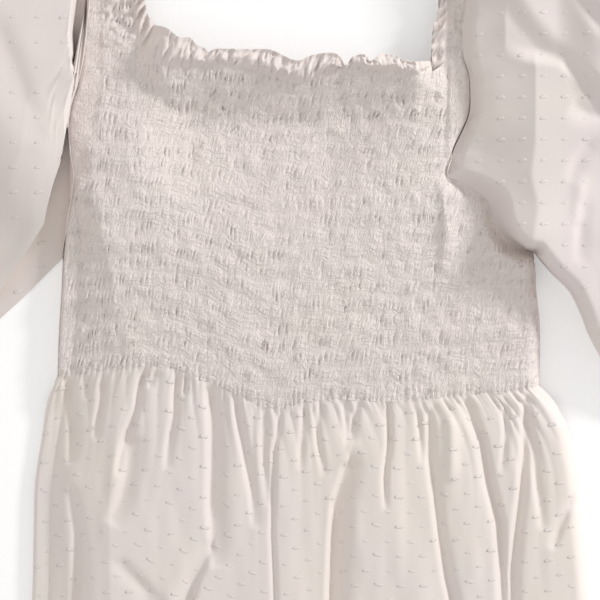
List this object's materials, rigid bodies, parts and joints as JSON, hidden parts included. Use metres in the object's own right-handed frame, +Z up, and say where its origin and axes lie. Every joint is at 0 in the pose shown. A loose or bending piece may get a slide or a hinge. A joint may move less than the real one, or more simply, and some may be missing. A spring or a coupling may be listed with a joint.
{
  "type": "peasant dress",
  "caption": "White dotted cotton dress laid flat, with a shirred bodice, square frilled neck, puff sleeves and a gathered skirt.",
  "frame": {"origin": "middle of the waist, on the surface that the dress lies on", "axes": "+X to the viewer's right, +Y from the waist up to the neck, +Z up out of the front of the dress"},
  "size_m": [0.7107, 1.0842, 0.0547],
  "materials": {
    "shirred_cotton": "matte, puckered by rows of elastic thread",
    "frill_cotton": "matte, ruffled",
    "dotted_cotton": "matte plain weave with small woven dashes"
  },
  "bodies": {
    "root": {"bodice_front": "shirred_cotton", "bodice_back": "shirred_cotton", "strap_left": "shirred_cotton", "strap_right": "shirred_cotton", "neck_frill_front": "frill_cotton", "neck_frill_back": "frill_cotton", "neck_frill_left": "frill_cotton", "neck_frill_right": "frill_cotton", "sleeve_left": "dotted_cotton", "sleeve_right": "dotted_cotton", "cuff_left": "dotted_cotton", "cuff_right": "dotted_cotton", "skirt_front": "dotted_cotton", "skirt_back": "dotted_cotton"}
  },
  "joints": []
}
